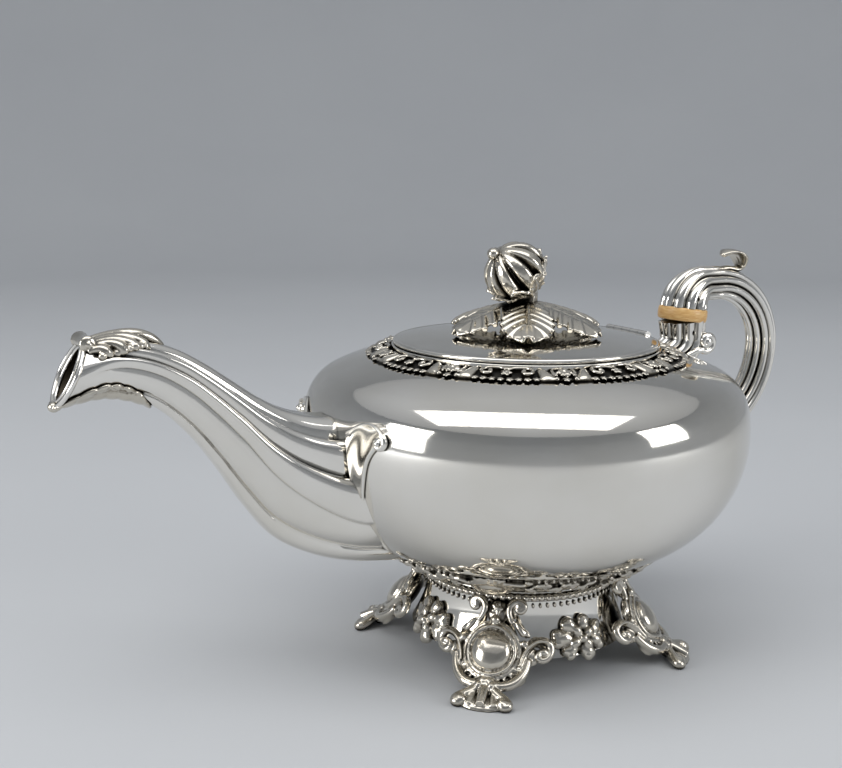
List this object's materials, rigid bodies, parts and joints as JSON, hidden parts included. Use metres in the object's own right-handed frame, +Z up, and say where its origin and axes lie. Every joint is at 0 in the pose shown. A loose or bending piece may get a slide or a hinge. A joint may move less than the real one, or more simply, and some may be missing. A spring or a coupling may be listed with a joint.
{
  "type": "silver teapot",
  "caption": "Squat round silver teapot on cast scroll feet, with a swan-neck spout, an insulated C-scroll handle and a hinged lid with a fruit finial.",
  "frame": {"origin": "on the pot's axis, on the plane that the four feet stand on", "axes": "+Z up, +X towards the handle, spout along -X"},
  "size_m": [0.2873, 0.16, 0.1503],
  "materials": {
    "polished_silver": "hand-polished sterling silver",
    "cast_silver": "cast and chased silver, dark in the recesses",
    "ivory": "honey-coloured ivory substitute, polished"
  },
  "bodies": {
    "pot": {"body_shell": "polished_silver", "lid_bezel": "polished_silver", "base_collar": "polished_silver", "bead_ring": "polished_silver", "foot_skirt": "polished_silver", "spout": "polished_silver", "handle": "polished_silver", "handle_upper_socket": "polished_silver", "handle_lower_socket": "polished_silver", "insulator_pins": "polished_silver", "hinge_body_knuckles": "polished_silver", "hinge_pin": "polished_silver", "shoulder_border": "cast_silver", "base_border": "cast_silver", "foot_front_left": "cast_silver", "foot_front_right": "cast_silver", "foot_rear_left": "cast_silver", "foot_rear_right": "cast_silver", "skirt_flower_front": "cast_silver", "skirt_flower_rear": "cast_silver", "skirt_flower_spout": "cast_silver", "skirt_flower_handle": "cast_silver", "spout_tip_leaf": "cast_silver", "spout_lip_leaf": "cast_silver", "handle_thumb_leaf": "cast_silver", "upper_insulator": "ivory", "lower_insulator": "ivory"},
    "lid": {"lid_plate": "polished_silver", "lid_flange": "polished_silver", "hinge_lid_knuckles": "polished_silver", "finial_leaves": "cast_silver", "finial_fruit": "cast_silver", "finial_stud": "polished_silver", "finial_washer": "polished_silver", "finial_nut": "polished_silver"}
  },
  "joints": [
    {"name": "lid_hinge", "type": "hinge", "parent": "pot", "child": "lid", "pos_m": [0.0463, 0, 0.1147], "axis": [0, 1, 0], "range_deg": [0, 92]}
  ]
}
